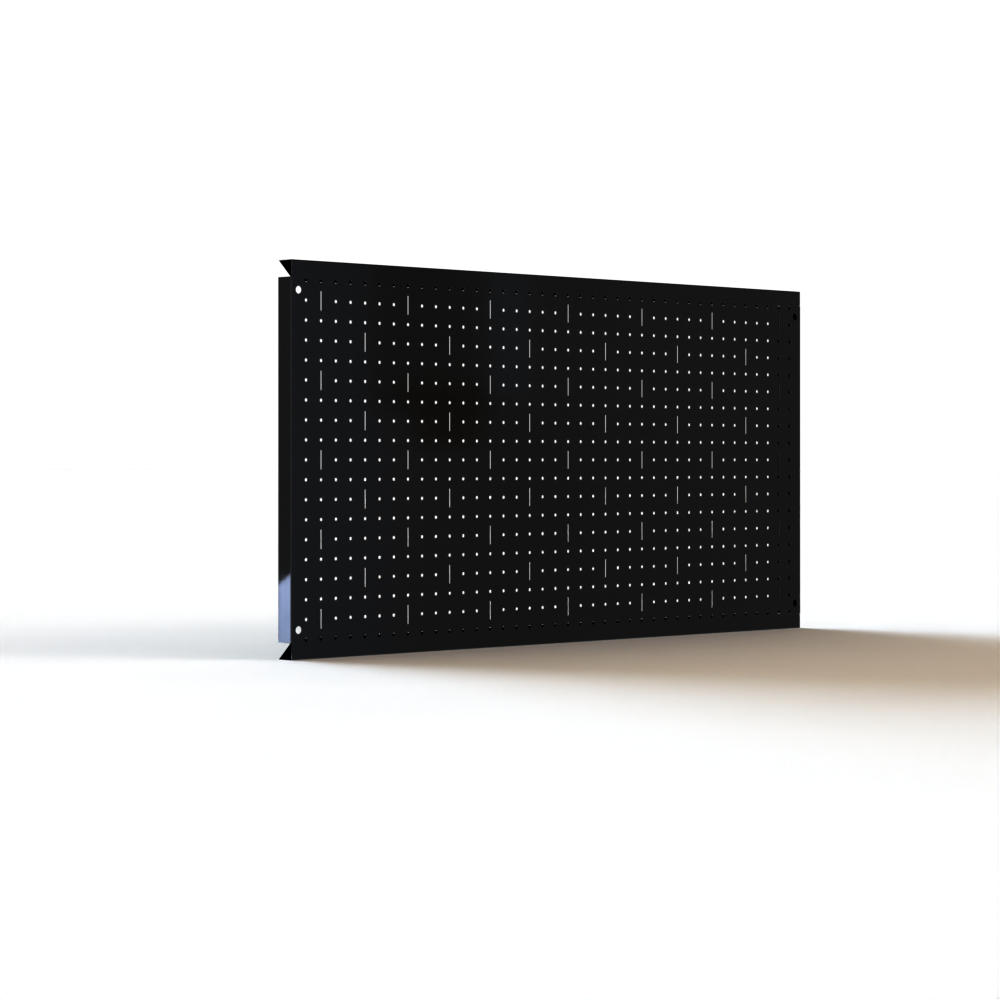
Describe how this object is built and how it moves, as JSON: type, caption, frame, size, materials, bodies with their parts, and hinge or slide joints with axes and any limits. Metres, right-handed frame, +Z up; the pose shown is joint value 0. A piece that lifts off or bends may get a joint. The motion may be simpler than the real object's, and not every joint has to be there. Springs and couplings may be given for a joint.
{
  "type": "pegboard tool wall",
  "caption": "Black steel pegboard panel with a folded edge, square-pitch peg holes, staggered vertical slots and corner fixing holes, hung flat on a wall to carry tool hooks.",
  "frame": {"origin": "centre of the wall plane, which the backs of the four turned-in flanges lie against", "axes": "+X to the viewer's right along the panel's width, +Y from the perforated face back into the wall, +Z up"},
  "size_m": [1.016, 0.0254, 0.508],
  "materials": {
    "face_coat": "near-black gloss powder coat on steel, fine orange peel",
    "edge_coat": "near-black gloss powder coat on steel, slightly thinner and brighter at the bends",
    "back_coat": "near-black powder coat on steel, slightly duller than the front"
  },
  "bodies": {
    "root": {"face_left": "face_coat", "face_centre": "face_coat", "face_right": "face_coat", "left_edge": "edge_coat", "right_edge": "edge_coat", "top_edge": "edge_coat", "bottom_edge": "edge_coat", "left_back_flange": "back_coat", "right_back_flange": "back_coat", "top_back_flange": "back_coat", "bottom_back_flange": "back_coat"}
  },
  "joints": []
}
